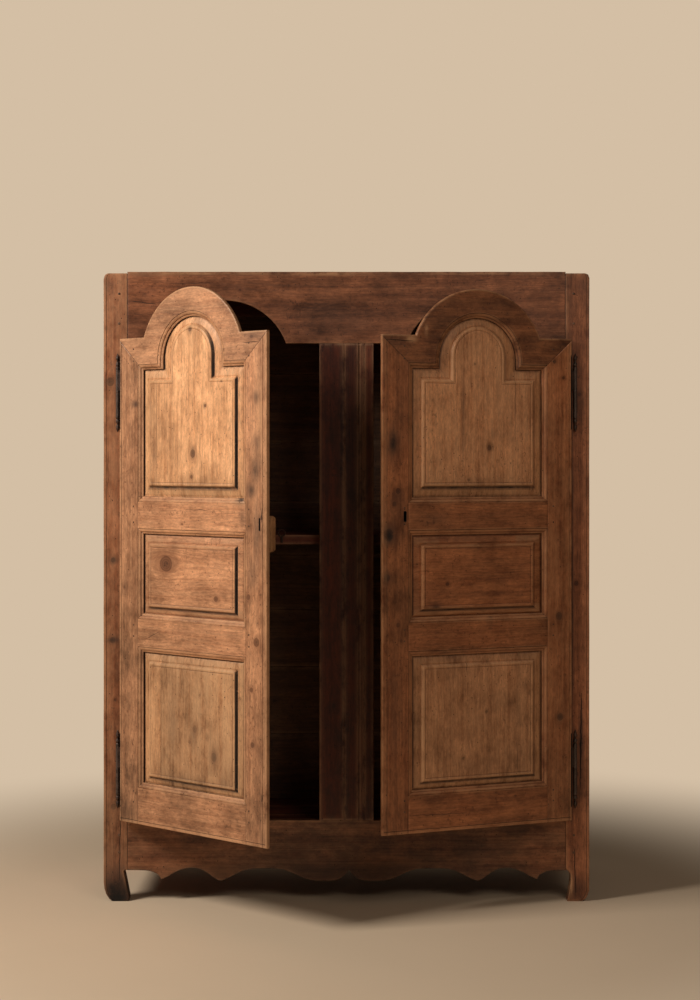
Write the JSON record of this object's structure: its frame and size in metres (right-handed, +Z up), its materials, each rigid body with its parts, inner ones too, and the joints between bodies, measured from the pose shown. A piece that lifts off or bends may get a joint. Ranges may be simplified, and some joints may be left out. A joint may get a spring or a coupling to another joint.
{
  "type": "two-door armoire cupboard",
  "caption": "Tall two-door pine armoire with round-headed panelled doors on pin hinges, a shelf inside and a shaped apron between plain feet.",
  "frame": {"origin": "centre of the bounding box on the floor, with both doors open as stored", "axes": "+X to the right seen from the front, +Y from the doors to the back, +Z up"},
  "size_m": [1.5456, 0.9526, 2],
  "materials": {
    "frame_wood": "waxed old pine, reddish brown",
    "door_wood": "waxed old pine, mid brown",
    "panel_wood": "worn waxed pine, faded",
    "inner_wood": "bare aged pine boards",
    "pale_wood": "bare newer wood",
    "peg_wood": "dark end grain",
    "wrought_iron": "blackened hand-worked iron"
  },
  "bodies": {
    "cabinet": {"back_board_1": "inner_wood", "back_board_2": "inner_wood", "back_board_3": "inner_wood", "back_board_4": "inner_wood", "back_board_5": "inner_wood", "back_board_6": "inner_wood", "back_board_7": "inner_wood", "back_board_8": "inner_wood", "back_bottom_rail": "inner_wood", "back_left_post": "frame_wood", "back_right_post": "frame_wood", "back_top_rail": "inner_wood", "board_bearers": "inner_wood", "button_keeper": "pale_wood", "carcass_pegs": "peg_wood", "centre_stile": "frame_wood", "floor_boards": "inner_wood", "frame_hinges": "wrought_iron", "front_bottom_rail": "frame_wood", "front_left_stile": "frame_wood", "front_right_stile": "frame_wood", "front_top_rail": "frame_wood", "left_side_bottom_rail": "frame_wood", "left_side_middle_rail": "frame_wood", "left_side_panels": "frame_wood", "left_side_top_rail": "frame_wood", "right_side_bottom_rail": "frame_wood", "right_side_middle_rail": "frame_wood", "right_side_panels": "frame_wood", "right_side_top_rail": "frame_wood", "roof_boards": "inner_wood", "shelf": "inner_wood", "shelf_eye": "wrought_iron"},
    "left_door": {"left_door_arched_rail": "door_wood", "left_door_bottom_rail": "door_wood", "left_door_button_screw": "wrought_iron", "left_door_button_spacer": "pale_wood", "left_door_hinge_knuckles": "wrought_iron", "left_door_hinge_stile": "door_wood", "left_door_lock_stile": "door_wood", "left_door_lower_panel": "panel_wood", "left_door_lower_rail": "door_wood", "left_door_middle_panel": "panel_wood", "left_door_pegs": "peg_wood", "left_door_upper_panel": "panel_wood", "left_door_upper_rail": "door_wood"},
    "right_door": {"right_door_arched_rail": "door_wood", "right_door_bottom_rail": "door_wood", "right_door_hinge_knuckles": "wrought_iron", "right_door_hinge_stile": "door_wood", "right_door_lock_case": "wrought_iron", "right_door_lock_stile": "door_wood", "right_door_lower_panel": "panel_wood", "right_door_lower_rail": "door_wood", "right_door_middle_panel": "panel_wood", "right_door_pegs": "peg_wood", "right_door_upper_panel": "panel_wood", "right_door_upper_rail": "door_wood"},
    "turn_button": {"turn_button": "pale_wood"},
    "lock_bolt": {"lock_bolt": "wrought_iron"}
  },
  "joints": [
    {"name": "left_door_swing", "type": "hinge", "parent": "cabinet", "child": "left_door", "pos_m": [-0.726, -0.0295, 1.018], "axis": [0, 0, -1], "range_deg": [-41.5, 128.5]},
    {"name": "right_door_swing", "type": "hinge", "parent": "cabinet", "child": "right_door", "pos_m": [0.726, -0.0295, 1.018], "axis": [0, 0, 1], "range_deg": [-22.5, 147.5]},
    {"name": "turn_button_turn", "type": "hinge", "parent": "left_door", "child": "turn_button", "pos_m": [-0.2272, -0.39536, 1.182], "axis": [0.6626, 0.749, 0], "range_deg": [0, 90]},
    {"name": "lock_bolt_slide", "type": "slide", "parent": "right_door", "child": "lock_bolt", "axis": [-0.9239, -0.3827, 0], "range_m": [0, 0.02]}
  ]
}
